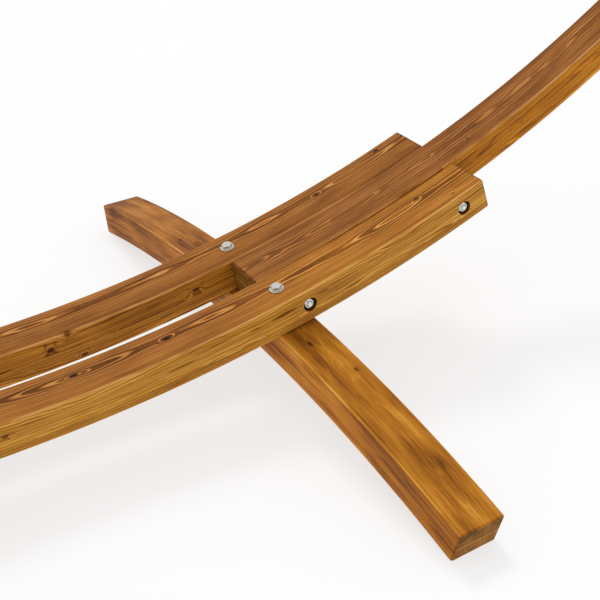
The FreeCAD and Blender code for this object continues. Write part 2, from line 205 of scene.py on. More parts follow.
class Tree:
    """Builds a shader or geometry node tree."""

    def __init__(self, tree):
        self.tree = tree

    def node(self, kind, settings=None, inputs=None, output=0):
        """Adds a node: its settings first, then its inputs' values or links. Returns one output."""
        made = self.tree.nodes.new(kind)
        for key, value in (settings or {}).items():
            if key == "stops":
                self.set_stops(made.color_ramp, value)
            elif key == "steps":
                made.color_ramp.interpolation = value
            else:
                setattr(made, key, value)
        for key, value in (inputs or {}).items():
            self.feed(made.inputs[key], value)
        return Value(self, made.outputs[output]) if made.outputs else made

    def feed(self, socket, value):
        """Links a Value to a socket, or sets the socket."""
        if isinstance(value, Value):
            self.tree.links.new(value.socket, socket)
        elif socket.type == "RGBA":
            socket.default_value = (*value, 1.0)
        else:
            socket.default_value = value

    def set_stops(self, ramp, stops):
        """Sets a colour ramp from (position, colour) pairs."""
        while len(ramp.elements) < len(stops):
            ramp.elements.new(1.0)
        for element, (position, tint) in zip(ramp.elements, stops):
            element.position = position
            element.color = (*tint, 1.0)

    def math(self, operation, *values):
        """A Math node."""
        return self.node("ShaderNodeMath", {"operation": operation}, dict(enumerate(values)))

    def vector_math(self, operation, *values, output=0):
        """A Vector Math node."""
        return self.node("ShaderNodeVectorMath", {"operation": operation}, dict(enumerate(values)), output)

    def xyz(self, x, y, z):
        """A vector from three values."""
        return self.node("ShaderNodeCombineXYZ", inputs={"X": x, "Y": y, "Z": z})

    def parts(self, vector):
        """A vector's three values."""
        split = self.node("ShaderNodeSeparateXYZ", inputs={0: vector})
        return split.of("X"), split.of("Y"), split.of("Z")

    def smooth(self, value, low, high):
        """0 below low, 1 above high, and smooth between. With low above high it falls instead."""
        return self.node("ShaderNodeMapRange", {"interpolation_type": "SMOOTHSTEP"},
                         {"Value": value, 1: low, 2: high})

    def mix(self, factor, low, high):
        """A mix of two values."""
        return low + (high - low) * factor

    def blend(self, factor, low, high, mode="MIX"):
        """A mix of two colours."""
        return self.node("ShaderNodeMix", {"data_type": "RGBA", "blend_type": mode},
                         {0: factor, 6: low, 7: high}, 2)

    def noise(self, vector, scale=1.0, detail=2.0, roughness=0.5):
        """Noise from 0 to 1."""
        return self.node("ShaderNodeTexNoise", None, {
            "Vector": vector, "Scale": scale, "Detail": detail, "Roughness": roughness})

    def random(self, x, y):
        """Three random numbers for each pair of whole numbers."""
        made = self.node("ShaderNodeTexWhiteNoise", {"noise_dimensions": "2D"}, {"Vector": self.xyz(x, y, 0)})
        return self.parts(made.of("Color"))


def new_material(name, metallic=0.0, coat=0.0, coat_roughness=0.2, specular=0.5):
    """A material, its Tree and its shader node."""
    material = bpy.data.materials.new(name)
    material.use_nodes = True
    nodes = material.node_tree.nodes
    shader = nodes["Principled BSDF"]
    shader.inputs["Metallic"].default_value = metallic
    shader.inputs["Coat Weight"].default_value = coat
    shader.inputs["Coat Roughness"].default_value = coat_roughness
    shader.inputs["Specular IOR Level"].default_value = specular
    return material, Tree(material.node_tree), shader


# Where everything lies

def radial(angle):
    """The unit vector from a bend's centre towards a timber, angle from straight down."""
    return Vector((math.sin(angle), 0, -math.cos(angle)))


class Layout:
    """Points and angles of the stand's right half, worked out from its sizes."""

    def __init__(self):
        timber, stand = settings("timber"), settings("stand")
        self.inner = timber.bend
        self.outer = timber.bend + timber.depth
        self.middle = timber.bend + timber.depth / 2
        self.through = timber.depth + 2 * PAST_FACE
        self.beam_y = timber.width + stand.side_gap
        self.beam_outer_y = self.beam_y + timber.width / 2
        low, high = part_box("right_foot")
        self.foot_x = (low.x + high.x) / 2
        self.foot_half = math.asin(stand.foot_chord / 2 / self.outer)
        foot_top = self.outer - self.inner * math.cos(self.foot_half) - stand.ground_cut
        self.foot_centre = Vector((self.foot_x, 0, foot_top - self.outer))
        top_at_beam = self.foot_centre.z + math.sqrt(self.outer**2 - self.beam_y**2)
        inner_x = self.foot_x - timber.width / 2
        self.beam_centre = Vector((0, 0, top_at_beam - stand.seat_depth
                                   + math.sqrt(self.outer**2 - inner_x**2)))
        self.arm_bolts = [self.beam_centre + radial(angle) * self.middle
                          for angle in (stand.low_bolt, stand.high_bolt)]
        pivot = self.arm_bolts[0]
        turned = self.beam_centre - pivot
        turned.rotate(Euler((0, -stand.arm_pitch, 0)))
        self.arm_centre = pivot + turned - radial(stand.low_bolt) * stand.arm_raise
        self.tip = math.asin((stand.overall / 2 - self.arm_centre.x) / self.outer)
        self.eye = self.tip - stand.eye_from_tip / self.middle


# Meshes

def new_piece(name, mesh):
    """An object at the origin."""
    piece = bpy.data.objects.new(name, mesh)
    bpy.context.scene.collection.objects.link(piece)
    return piece


def settled(piece):
    """Turns a piece's modifiers into its plain mesh."""
    bpy.context.view_layer.update()
    graph = bpy.context.evaluated_depsgraph_get()
    mesh = bpy.data.meshes.new_from_object(piece.evaluated_get(graph))
    piece.modifiers.clear()
    old, piece.data = piece.data, mesh
    mesh.name = piece.name
    bpy.data.meshes.remove(old)
    return piece


def grown(name, group, values, mesh=None):
    """The piece that a geometry node group makes from the values of its named inputs."""
    piece = new_piece(name, mesh or bpy.data.meshes.new(name))
    modifier = piece.modifiers.new("Nodes", "NODES")
    modifier.node_group = group
    for item in group.interface.items_tree:
        if item.in_out == "INPUT" and item.name in values:
            modifier[item.identifier] = values[item.name]
    return settled(piece)


def combine(piece, other, operation):
    """Cuts another piece from this one, or joins it on, and removes it."""
    modifier = piece.modifiers.new("Combine", "BOOLEAN")
    modifier.operation = operation
    modifier.solver = "EXACT"
    modifier.object = other
    settled(piece)
    mesh = other.data
    bpy.data.objects.remove(other)
    bpy.data.meshes.remove(mesh)
    return piece


def shade(piece, sharp=math.radians(35)):
    """Smooth shading with crisp edges, and flat faces kept flat."""
    piece.data.polygons.foreach_set("use_smooth", [True] * len(piece.data.polygons))
    piece.data.set_sharp_from_angle(angle=sharp)
    modifier = piece.modifiers.new("Normals", "WEIGHTED_NORMAL")
    modifier.keep_sharp = True
    modifier.weight = 60
    return settled(piece)


def ring_surface(mesh, rings, closed):
    """Joins rings of points into a tube, closed on itself or capped at both ends."""
    made = [[mesh.verts.new(p) for p in ring] for ring in rings]
    count = len(made[0])
    pairs = list(zip(made, made[1:])) + ([(made[-1], made[0])] if closed else [])
    for low, high in pairs:
        for i in range(count):
            j = (i + 1) % count
            mesh.faces.new((low[i], low[j], high[j], high[i]))
    if not closed:
        mesh.faces.new(made[0][::-1])
        mesh.faces.new(made[-1])


def plain_mesh(name, mesh):
    """A finished mesh with its faces pointing outwards."""
    bmesh.ops.recalc_face_normals(mesh, faces=mesh.faces)
    data = bpy.data.meshes.new(name)
    mesh.to_mesh(data)
    mesh.free()
    return data


def turned_mesh(name, outline, closed=False, segments=48):
    """A mesh about +Z from (radius, height) pairs. A radius may be a function of the angle."""
    mesh = bmesh.new()
    rings = []
    for radius, height in outline:
        ring = []
        for i in range(segments):
            angle = 2 * math.pi * i / segments
            r = radius(angle) if callable(radius) else radius
            ring.append((r * math.cos(angle), r * math.sin(angle), height))
        rings.append(ring)
    ring_surface(mesh, rings, closed)
    return plain_mesh(name, mesh)


def group_with(name, sockets):
    """A geometry node group with named inputs, its Tree, its input node and its output node."""
    group = bpy.data.node_groups.new(name, "GeometryNodeTree")
    group.interface.new_socket("Geometry", in_out="OUTPUT", socket_type="NodeSocketGeometry")
    for socket, kind in sockets.items():
        group.interface.new_socket(socket, in_out="INPUT", socket_type="NodeSocket" + kind)
    return group, Tree(group), group.nodes.new("NodeGroupInput"), group.nodes.new("NodeGroupOutput")


def bent_timber_group():
    """Sweeps a rounded rectangle along an arc and rounds its ends, then puts it in place."""
    group, tree, given, result = group_with("Bent timber", {
        "Geometry": "Geometry", "Bend radius": "Float", "Depth": "Float", "Width": "Float",
        "From": "Float", "To": "Float", "Edge round": "Float", "End round": "Float", "Steps": "Int",
        "Centre": "Vector", "Turn": "Vector", "Material": "Material"})
    value = {socket.name: Value(tree, socket) for socket in given.outputs if socket.name}
    middle = value["Bend radius"] + value["Depth"] / 2
    start, stop, end_round, steps = value["From"], value["To"], value["End round"], value["Steps"]
    length = (stop - start) * middle
    end_rings = 4

    line = tree.node("GeometryNodeMeshLine", {"mode": "OFFSET"}, {"Count": steps + 1, "Offset": (0, 0, 1)})
    index = tree.node("GeometryNodeInputIndex")
    from_end = tree.math("MINIMUM", index, steps - index)
    in_round = from_end < end_rings + 0.5
    rounding = end_round * (1 - tree.math("COSINE", from_end * (math.pi / 2 / end_rings)))
    plain_step = (length - end_round * 2) / (steps - 2 * end_rings)
    beyond = end_round + (from_end - end_rings) * plain_step
    travel = tree.mix(in_round, beyond, rounding)
    past_half = index > steps / 2
    angle = tree.mix(past_half, start + travel / middle, stop - travel / middle)
    spine_place = tree.xyz(tree.math("SINE", angle) * middle, 0, -(tree.math("COSINE", angle) * middle))
    spine = tree.node("GeometryNodeSetPosition", inputs={"Geometry": line, "Position": spine_place})
    spine = tree.node("GeometryNodeMeshToCurve", inputs={"Mesh": spine})
    spine = tree.node("GeometryNodeSetCurveNormal", {"mode": "Z_UP"}, {"Curve": spine})

    section = tree.node("GeometryNodeCurvePrimitiveQuadrilateral",
                        inputs={"Width": value["Width"], "Height": value["Depth"]})
    section = tree.node("GeometryNodeFilletCurve", {"mode": "POLY"},
                        {"Curve": section, "Count": 4, "Radius": value["Edge round"]})
    bar = tree.node("GeometryNodeCurveToMesh",
                    inputs={"Curve": spine, "Profile Curve": section, "Fill Caps": True})

    x, y, z = tree.parts(tree.node("GeometryNodeInputPosition"))
    reach = tree.math("SQRT", x * x + z * z)
    at = tree.math("ARCTAN2", x, -z)
    to_end = tree.math("MINIMUM", (at - start) * middle, (stop - at) * middle)
    inside = tree.math("MAXIMUM", end_round - tree.math("MAXIMUM", to_end, 0.0), 0.0)
    inset = end_round - tree.math("SQRT", tree.math("MAXIMUM", end_round * end_round - inside * inside, 0.0))
    off_middle = reach - middle
    new_reach = middle + tree.math("SIGN", off_middle) * (abs(off_middle) - inset)
    new_y = tree.math("SIGN", y) * (abs(y) - inset)
    rounded = tree.xyz(tree.math("SINE", at) * new_reach, new_y, -(tree.math("COSINE", at) * new_reach))
    bar = tree.node("GeometryNodeSetPosition", inputs={"Geometry": bar, "Position": rounded})
    bar = tree.node("GeometryNodeTransform", inputs={
        "Geometry": bar, "Rotation": value["Turn"], "Translation": value["Centre"]})
    bar = tree.node("GeometryNodeRealizeInstances", inputs={"Geometry": bar})
    bar = tree.node("GeometryNodeSetMaterial", inputs={"Geometry": bar, "Material": value["Material"]})
    tree.feed(result.inputs["Geometry"], bar)
    return group


def set_out_group():
    """Stands a copy of a fastener on every point of a mesh, along the point's axis attribute."""
    group, tree, given, result = group_with("Set out fasteners", {
        "Geometry": "Geometry", "Fastener": "Object", "Material": "Material"})
    fastener = tree.node("GeometryNodeObjectInfo", inputs={"Object": Value(tree, given.outputs["Fastener"])},
                         output="Geometry")
    axis = tree.node("GeometryNodeInputNamedAttribute", {"data_type": "FLOAT_VECTOR"}, {"Name": "axis"})
    turn = tree.node("FunctionNodeAlignRotationToVector", {"axis": "Z"}, {"Vector": axis})
    copies = tree.node("GeometryNodeInstanceOnPoints", inputs={
        "Points": Value(tree, given.outputs["Geometry"]), "Instance": fastener, "Rotation": turn})
    copies = tree.node("GeometryNodeRealizeInstances", inputs={"Geometry": copies})
    copies = tree.node("GeometryNodeSetMaterial", inputs={
        "Geometry": copies, "Material": Value(tree, given.outputs["Material"])})
    tree.feed(result.inputs["Geometry"], copies)
    return group


def shared(make):
    """Makes a node group or material the first time that it is asked for."""
    made = bpy.context.scene.get("hammock_stand_made", {})
    if make.__name__ in made:
        return made[make.__name__]
    found = make()
    made = dict(made)
    made[make.__name__] = found
    bpy.context.scene["hammock_stand_made"] = made
    return found


def timber(name, centre, start, end, material=None, turn=(0, 0, 0), width=None, rounded=True):
    """A length of bent stock about a bend's centre, between two angles."""
    sizes = settings("timber")
    steps = 8 + 2 * math.ceil((end - start) * sizes.bend / sizes.ring_step / 2)
    return grown(name, shared(bent_timber_group), {
        "Bend radius": sizes.bend, "Depth": sizes.depth, "Width": width or sizes.width,
        "From": start, "To": end, "Steps": steps, "Centre": centre, "Turn": turn,
        "Edge round": sizes.edge_round if rounded else 0.0,
        "End round": sizes.end_round if rounded else 0.0, "Material": material})


def set_out(name, mesh, places, material):
    """Copies of a fastener's mesh at (point, axis) places, as one piece."""
    pattern = new_piece(name + "_pattern", mesh)
    points = bpy.data.meshes.new(name)
    points.from_pydata([p for p, _ in places], [], [])
    axis = points.attributes.new("axis", "FLOAT_VECTOR", "POINT")
    axis.data.foreach_set("vector", [c for _, direction in places for c in direction])
    piece = grown(name, shared(set_out_group), {"Fastener": pattern, "Material": material}, points)
    bpy.data.objects.remove(pattern)
    bpy.data.meshes.remove(mesh)
    return piece


def bore(*steps, start=-PAST_FACE, chamfer=0.0):
    """A hole's outline from (radius, depth) steps, with its mouth plain or chamfered."""
    outline, top = [(0.0, start)], start
    for radius, depth in steps:
        if chamfer and top == start:
            outline += [(radius + chamfer + PAST_FACE, start), (radius, chamfer), (radius, depth)]
        else:
            outline += [(radius, top), (radius, depth)]
        top = depth
    return outline + [(0.0, top)]


def drill(piece, point, direction, outline):
    """Cuts a turned hole: its outline is (radius, depth) pairs from a point on the face."""
    cutter = set_out("hole", turned_mesh("hole", outline, segments=64), [(point, direction)], None)
    combine(piece, cutter, "DIFFERENCE")


def show(piece, body, slot, *nodes):
    """Hands a finished piece to the frame, once its box agrees with the nodes that it stands for."""
    low = [min(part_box(n)[0][i] for n in nodes) for i in range(3)]
    high = [max(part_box(n)[1][i] for n in nodes) for i in range(3)]
    coords = [v.co for v in piece.data.vertices]
    for i in range(3):
        gap = max(abs(min(c[i] for c in coords) - low[i]), abs(max(c[i] for c in coords) - high[i]))
        if gap > BOX_TOLERANCE:
            raise RuntimeError(f"{piece.name} is {gap * 1000:.2f} mm off its node along {'XYZ'[i]}")
    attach(piece, body)
    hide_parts(*nodes)


# Finishes

def ellipsoid(tree, spot, sizes, at):
    """Distance from a spot in units of its three half-sizes."""
    off = tree.vector_math("SUBTRACT", spot, at)
    off = tree.vector_math("MULTIPLY", off, tuple(1 / s for s in sizes))
    return tree.vector_math("LENGTH", off, output="Value")


class Stock:
    """A timber's own measure at every spot: along its bend, across it, and through its depth."""

    def __init__(self, tree, bend_centre, offset, along, ends, seed):
        self.tree, self.along = tree, along
        sizes = settings("timber")
        self.place = x, y, z = tree.parts(tree.node("ShaderNodeTexCoord", output="Object"))
        if along == "X":
            run, drop, self.across = x - bend_centre.x, bend_centre.z - z, y - offset
        else:
            run, drop, self.across = y, z - bend_centre.z, x - offset
        self.grain = tree.math("ARCTAN2", run, drop) * (sizes.bend + sizes.depth / 2)
        self.depth = tree.math("SQRT", run * run + drop * drop) - sizes.bend
        self.spot = tree.xyz(self.grain, self.across, self.depth)

        board = sizes.depth / sizes.laminations
        self.layer = tree.math("MINIMUM", tree.math("MAXIMUM", tree.math("FLOOR", self.depth / board), 0.0),
                               sizes.laminations - 1.0)
        self.chances = tree.random(self.layer + 3.0, seed + 0.5)
        self.in_board = self.depth - (self.layer + 0.5) * board
        self.to_glue = abs(self.depth / board - tree.math("ROUND", self.depth / board)) * board
        self.from_middle = abs(self.depth - sizes.depth / 2)
        self.to_end = tree.math("MINIMUM", self.grain - ends[0], ends[1] - self.grain)
        self.to_arris = (sizes.width / 2 - abs(self.across)) + (sizes.depth / 2 - self.from_middle)

        # Shares of each kind of face
        self.hollow = tree.smooth(self.depth, 0.0030, 0.0012)
        self.rounded = tree.smooth(self.depth, sizes.depth - 0.0030, sizes.depth - 0.0012)
        self.side = (1 - self.hollow) * (1 - self.rounded)
        self.sawn = tree.smooth(self.to_end, 0.0011, 0.0003)

        # Unevenness that the rings, glue lines, knots and stains share
        self.wobble = self.drawn_out(9.0, 30, self.layer * 3) - 0.5
        self.ragged = self.drawn_out(42.0, 170) - 0.5

    def drawn_out(self, along, through, shift=0.0, detail=2.0, roughness=0.5):
        """Noise drawn out along the grain, from its steps to a metre along and through the wood."""
        tree = self.tree
        return tree.noise(tree.xyz(self.grain * along, self.across * through, self.depth * through + shift),
                          detail=detail, roughness=roughness)

    def recess_shade(self, point, radius, limit):
        """1 on the wall and floor of a recess round a point, down to a limit, and 0 elsewhere: where the
        recesses' painted shade goes.
        """
        x, y, z = self.place
        if self.along == "X":
            first, second, inwards = abs(x) - abs(point.x), z - point.z, abs(y)
        else:
            first, second, inwards = x - point.x, abs(y) - point.y, self.depth
        from_axis = self.tree.math("SQRT", first * first + second * second)
        return (from_axis < radius) * (inwards < limit)


def knot_marks(tree, stock, knots):
    """The knots' hearts, the dark wood round them, and how far the rings bow round them."""
    heart, halo, bow = 0.0, 0.0, 0.0
    for knot in knots:
        distance = ellipsoid(tree, stock.spot, knot[3:], knot[:3])
        bow = bow + 0.005 * tree.smooth(distance, 3.2, 0.4)
        heart = heart + tree.smooth(distance + stock.ragged * 0.8, 1.05, 0.55)
        halo = halo + tree.smooth(distance, 2.4, 0.7)
    return tree.math("MINIMUM", heart, 1.0), tree.math("MINIMUM", halo, 1.0), bow


def growth_rings(tree, stock, figure, seed, bow):
    """Rings round a pith that wanders near or beyond each board.

    Returns their dark fill, their light lines, and how near each spot is to the flame grain's heart.
    """
    flamed_layer, heart_across, heart_through = figure
    plain_ring, flame_ring, fine_beyond = 0.0020, 0.0042, 0.020
    first, second, _ = stock.chances
    flamed = 1 - tree.math("MINIMUM", abs(stock.layer - flamed_layer), 1.0)
    wander = tree.noise(tree.xyz(stock.grain * 2.2, stock.layer * 5.3, seed), detail=1.0) - 0.5
    sway = tree.noise(tree.xyz(stock.grain * 3.4, stock.layer * 7.9 + 40, seed), detail=1.5) - 0.5
    pith_across = tree.mix(flamed, (first - 0.5) * 0.14, heart_across) + wander * 0.020
    pith_through = (tree.mix(flamed, (second - 0.5) * 0.09, heart_through)
                    + sway * tree.mix(flamed, 0.012, 0.034))
    off_across, off_through = stock.across - pith_across, stock.in_board - pith_through
    from_pith = tree.math("SQRT", off_across * off_across + off_through * off_through)
    from_pith = from_pith + stock.wobble * 0.0045 + stock.ragged * 0.0010 - bow

    ring = (from_pith / tree.mix(flamed, plain_ring, flame_ring)
            + tree.math("MAXIMUM", from_pith - fine_beyond, 0.0) * flamed / flame_ring)
    near = tree.smooth(from_pith, 0.032, 0.018) * flamed
    number = tree.math("FLOOR", ring)
    share = ring - number
    odds, evens, _ = tree.random(number, stock.layer * 13 + seed)
    flame = tree.smooth(share, 0.02, 0.12) * tree.smooth(share, 0.76, 0.68)
    fill = tree.mix(near, tree.smooth(share, 0.0, 0.70), flame) * (0.30 + odds * 1.10)
    line = tree.smooth(share, 0.72, 0.84) * tree.smooth(share, 1.0, 0.93) * (0.40 + 0.60 * evens)
    return fill, line, near


def larch(name, bend_centre, offset, along="X", seed=0.0, figure=(0, 0.010, -0.014), knots=(), stains=(),
          recesses=(), ends=(-1, 1), tones=(0.0, 0.0, 0.0), tints=((1, 1, 1), (1, 1, 1), (1, 1, 1)),
          boards=(0.0, 0.0, 0.0, 0.0), contrast=1.0, mottle=0.5, drift=None, joint_shade_reach=0.0):
    """Stained laminated larch whose grain follows a bend.

    figure is the lamination whose flame grain shows, and where its pith lies: across, and through.
    knots and stains are (along, across, through, and three half-sizes) in the timber's own measure.
    recesses are (point, radius, limit), where painted shade in the knot colour goes on the walls and floors.
    tones and tints are those of the hollow face, the sides and the round face: partly the wood's own, and
    partly painted light and shade that evens out how the lamps light each face. boards are the laminations'
    own tones, seen on the sides. drift is a change of tone and tint that comes on between two places along
    the timber. Up to joint from the middle of the stand the sides' edges are painted darker, as painted
    shade of the narrow gap where they lie against another timber.
    """
    sizes, finish = settings("timber"), settings("finish")
    material, tree, shader = new_material(name, coat=0.015, coat_roughness=0.3, specular=0.09)
    stock = Stock(tree, bend_centre, offset, along, ends, seed)
    side, sawn, ragged = stock.side, stock.sawn, stock.ragged
    core, halo, bow = knot_marks(tree, stock, knots)
    fill, line, near = growth_rings(tree, stock, figure, seed, bow)
    fibre = stock.drawn_out(16, 900, roughness=0.65)
    streak = stock.drawn_out(4.5, 300, detail=2.5, roughness=0.6)
    cloud = stock.drawn_out(8, 36, seed, detail=3.0)
    plane_marks = stock.grain * (2 * math.pi / 0.0042) + stock.across * 160 + stock.depth * 160
    ripple = tree.math("SINE", plane_marks)

    # Tone from 0 to 1, through the stain's range of colours: first the wood's own figure
    own = tree.node("ShaderNodeValToRGB", {"steps": "CONSTANT", "stops": [
        (i / sizes.laminations, (0.5 + board_tone,) * 3) for i, board_tone in enumerate(boards)]},
        {"Fac": stock.depth / sizes.depth}) - 0.5
    # The faces' tones are partly the wood's own and partly painted light and shade, evening out how the lamps
    # light top, sides and round face.
    tone = 0.52 + tones[0] * stock.hollow + (tones[1] + own) * side + tones[2] * stock.rounded
    tone = tone + contrast * (1.25 + 0.25 * side - 0.25 * near) * (0.40 * line - 0.21 * (fill - 0.42))
    tone = tone + (0.62 * (fibre - 0.5) + (0.42 + 0.25 * side) * (streak - 0.5)) * (1 - 0.6 * sawn)
    tone = tone + mottle * (cloud - 0.5) * (1 - 0.5 * sawn) + 0.020 * ripple + (stock.chances[2] - 0.5) * 0.06
    tone = tone - (0.17 + 0.19 * contrast) * core - 0.12 * halo
    for stain in stains:
        distance = ellipsoid(tree, stock.spot, stain[3:], stain[:3])
        tone = tone - 0.38 * tree.smooth(distance + stock.wobble * 1.4 + ragged * 0.8, 1.15, 0.45)

    # Then what gluing, sawing and handling did to it, and painted light: a highlight along the arrises and
    # shade beside the joints
    half = sizes.depth / 2
    within = tree.smooth(stock.from_middle, half - 0.002, half - 0.004)
    glue = tree.smooth(stock.to_glue + ragged * 0.0008, 0.00065, 0.0001) * within
    squeezed = tree.smooth(stock.from_middle + ragged * 0.0020, 0.0017, 0.0006) * sawn
    rim = tree.smooth(stock.to_end, 0.0045, 0.0025) * (1 - sawn)
    patchy = tree.smooth(tree.noise(stock.grain * 6.0 + seed, detail=2.0), 0.34, 0.56)
    # Lighter along the long arrises: partly wear, partly a painted highlight standing in for the shine of the
    # rounded edges.
    wear_and_highlight = tree.smooth(stock.to_arris, 0.0030, 0.0021) * (0.25 + 0.75 * patchy) * (1 - sawn)
    tone = tone - 0.26 * glue * (1 - sawn) + 0.30 * squeezed - 0.21 * sawn - 0.16 * rim
    tone = tone + 0.55 * (0.35 + 0.65 * contrast) * wear_and_highlight
    # Painted shade: the faces that lie against another timber, and the edges beside them, darker as if in the
    # narrow gap.
    if joint_shade_reach:
        edge = sizes.width / 2
        gap_shade = tree.smooth(abs(stock.across), edge - 0.0035, edge - 0.0005)
        tone = tone - 0.30 * (abs(stock.grain) < joint_shade_reach) * gap_shade
    if drift:
        far = (tree.smooth(stock.grain, drift["start"], drift["stop"])
               * tree.mix(stock.hollow, drift["on_sides"], 1.0))
        tone = tone + drift["tone"] * far

    body = tree.node("ShaderNodeValToRGB", {"stops": [
        (0.0, tuple(finish.knot)), (0.25, tuple(finish.russet)), (0.5, tuple(finish.honey)),
        (0.75, tuple(finish.gold)), (1.0, tuple(finish.straw))]}, {"Fac": tone})
    # The faces' tints too are partly the wood's own and partly painted light and shade.
    tint = tree.blend(stock.rounded, tree.blend(stock.hollow, tints[1], tints[0]), tints[2])
    body = tree.blend(1.0, body, tint, "MULTIPLY")
    if drift:
        body = tree.blend(far, body, tree.blend(1.0, body, drift["tint"], "MULTIPLY"))
    body = tree.blend(sawn, body, tree.blend(1.0, body, END_GRAIN_TINT, "MULTIPLY"))
    # Painted shade: the recesses' walls and floors take the knot colour.
    for recess in recesses:
        body = tree.blend(stock.recess_shade(*recess) * 0.80, body, tuple(finish.knot))

    tree.feed(shader.inputs["Base Color"], body)
    tree.feed(shader.inputs["Roughness"], 0.50 + 0.20 * (fibre - 0.5) + 0.08 * fill + 0.25 * sawn)
    height = fibre * 0.55 + line * 0.45 + ripple * 0.06 - glue * 0.9 - core * 0.5
    bump = tree.node("ShaderNodeBump", None, {"Strength": 0.5, "Distance": 0.00035, "Height": height})
    tree.feed(shader.inputs["Normal"], bump)
    return material


def zinc_plate():
    """Bright zinc plate with faint yellow and blue passivation and dulled patches."""
    material, tree, shader = new_material("zinc_plate", metallic=1.0)
    zinc = tuple(settings("finish").zinc)
    place = tree.node("ShaderNodeTexCoord", output="Object")
    patches = tree.noise(place, scale=260.0, detail=3.0)
    specks = tree.noise(place, scale=2400.0, detail=2.0)
    tint = tree.node("ShaderNodeValToRGB", {"stops": [
        (0.32, (zinc[0] * 0.78, zinc[1] * 0.80, zinc[2] * 0.84)), (0.5, zinc),
        (0.68, (zinc[0] * 1.12, zinc[1] * 1.10, zinc[2] * 1.0))]}, {"Fac": patches})
    tree.feed(shader.inputs["Base Color"], tint)
    tree.feed(shader.inputs["Roughness"], 0.13 + 0.18 * patches + 0.05 * specks)
    bump = tree.node("ShaderNodeBump", None, {"Strength": 0.25, "Distance": 0.00001, "Height": specks})
    tree.feed(shader.inputs["Normal"], bump)
    return material


def bright_wire():
    """Smooth plated wire, with broad duller patches and small scuffs."""
    material, tree, shader = new_material("bright_wire", metallic=1.0)
    steel = tuple(settings("finish").steel)
    place = tree.node("ShaderNodeTexCoord", output="Object")
    scuffs = tree.noise(place, scale=520.0, detail=4.0, roughness=0.7)
    broad = tree.noise(place, scale=90.0, detail=2.0)
    tint = tree.blend(tree.smooth(broad, 0.3, 0.7), tuple(c * 0.86 for c in steel), steel)
    tree.feed(shader.inputs["Base Color"], tint)
    tree.feed(shader.inputs["Roughness"], 0.16 + 0.20 * scuffs)
    bump = tree.node("ShaderNodeBump", None, {"Strength": 0.15, "Distance": 0.0001, "Height": scuffs})
    tree.feed(shader.inputs["Normal"], bump)
    return material


# Operators

class HAMMOCK_OT_side_beams(bpy.types.Operator):
    """Makes the two side beams with their bolt holes and recesses"""
    bl_idname = "hammock_stand.side_beams"
    bl_label = "Side beams"

    def execute(self, context):
        lay, stand, holes = Layout(), settings("stand"), settings("hardware")
        width = settings("timber").width
        ends = (-stand.beam_end * lay.middle, stand.beam_end * lay.middle)
        looks = {
            "front": dict(
                seed=2.0, figure=(0, 0.011, -0.020), boards=(0.07, 0.03, 0.05, 0.0), tones=(-0.02, 0.07, 0.0),
                drift={"start": 0.25, "stop": 0.55, "tone": 0.02, "tint": (1.16, 1.18, 0.90), "on_sides": 0},
                knots=((0.249, 0.008, 0.004, 0.007, 0.004, 0.012),
                       (0.093, 0.011, 0.004, 0.010, 0.0045, 0.012),
                       (0.757, 0.017, 0.004, 0.005, 0.0028, 0.010),
                       (0.806, -0.024, 0.002, 0.003, 0.0016, 0.006),
                       (-0.038, -0.040, 0.023, 0.007, 0.006, 0.003)),
                stains=((0.434, -0.041, 0.021, 0.030, 0.006, 0.0036),
                        (0.380, -0.041, 0.0215, 0.026, 0.006, 0.0030),
                        (0.512, -0.041, 0.018, 0.018, 0.006, 0.0022),
                        (0.572, -0.041, 0.038, 0.026, 0.005, 0.0035),
                        (0.250, -0.041, 0.024, 0.030, 0.006, 0.0016))),
            "back": dict(
                seed=7.0, figure=(0, 0.016, -0.020), boards=(-0.08, -0.11, -0.13, -0.11),
                tones=(-0.05, 0.07, 0.0),
                knots=((0.129, -0.037, 0.004, 0.008, 0.005, 0.007),
                       (0.649, 0.010, 0.004, 0.005, 0.003, 0.010),
                       (0.799, 0.029, 0.002, 0.004, 0.002, 0.006),
                       (0.097, -0.041, 0.020, 0.008, 0.005, 0.0045),
                       (0.361, -0.041, 0.021, 0.009, 0.005, 0.004),
                       (0.150, -0.041, 0.052, 0.006, 0.004, 0.003))),
        }
        # wall and lip bound the painted shade in the arm bolts' recesses.
        wall, lip = holes.pocket_radius + 0.00012, 0.0004
        arm_hole = (M10["r"] + holes.hole_play, width + PAST_FACE)
        pocket = bore((holes.pocket_radius, holes.pocket_depth), arm_hole, chamfer=holes.pocket_chamfer)
        foot_hole = bore((M10_WIDE["washer_r"] + holes.hole_play, holes.spot_face),
                         (M10_WIDE["r"] + holes.hole_play, lay.through))
        for name, front in (("front", -1), ("back", 1)):
            centre = lay.beam_centre + Y_AXIS * (front * lay.beam_y)
            material = larch("larch_" + name + "_beam", lay.beam_centre, front * lay.beam_y, ends=ends,
                             recesses=[(point, wall, lay.beam_outer_y - lip) for point in lay.arm_bolts],
                             tints=((0.86, 0.78, 1.05), (1.03, 1.05, 0.92), (1, 1, 1)), **looks[name])
            beam = timber(name + "_side_beam_timber", centre, -stand.beam_end, stand.beam_end, material)
            for side in SIDES.values():
                for point in lay.arm_bolts:
                    mouth = Vector((side * point.x, front * lay.beam_outer_y, point.z))
                    drill(beam, mouth, Y_AXIS * -front, pocket)
                down = radial(side * stand.foot_bolt)
                drill(beam, centre + down * lay.inner, down, foot_hole)
            show(shade(beam), "stand", "larch", name + "_side_beam")
        return {"FINISHED"}


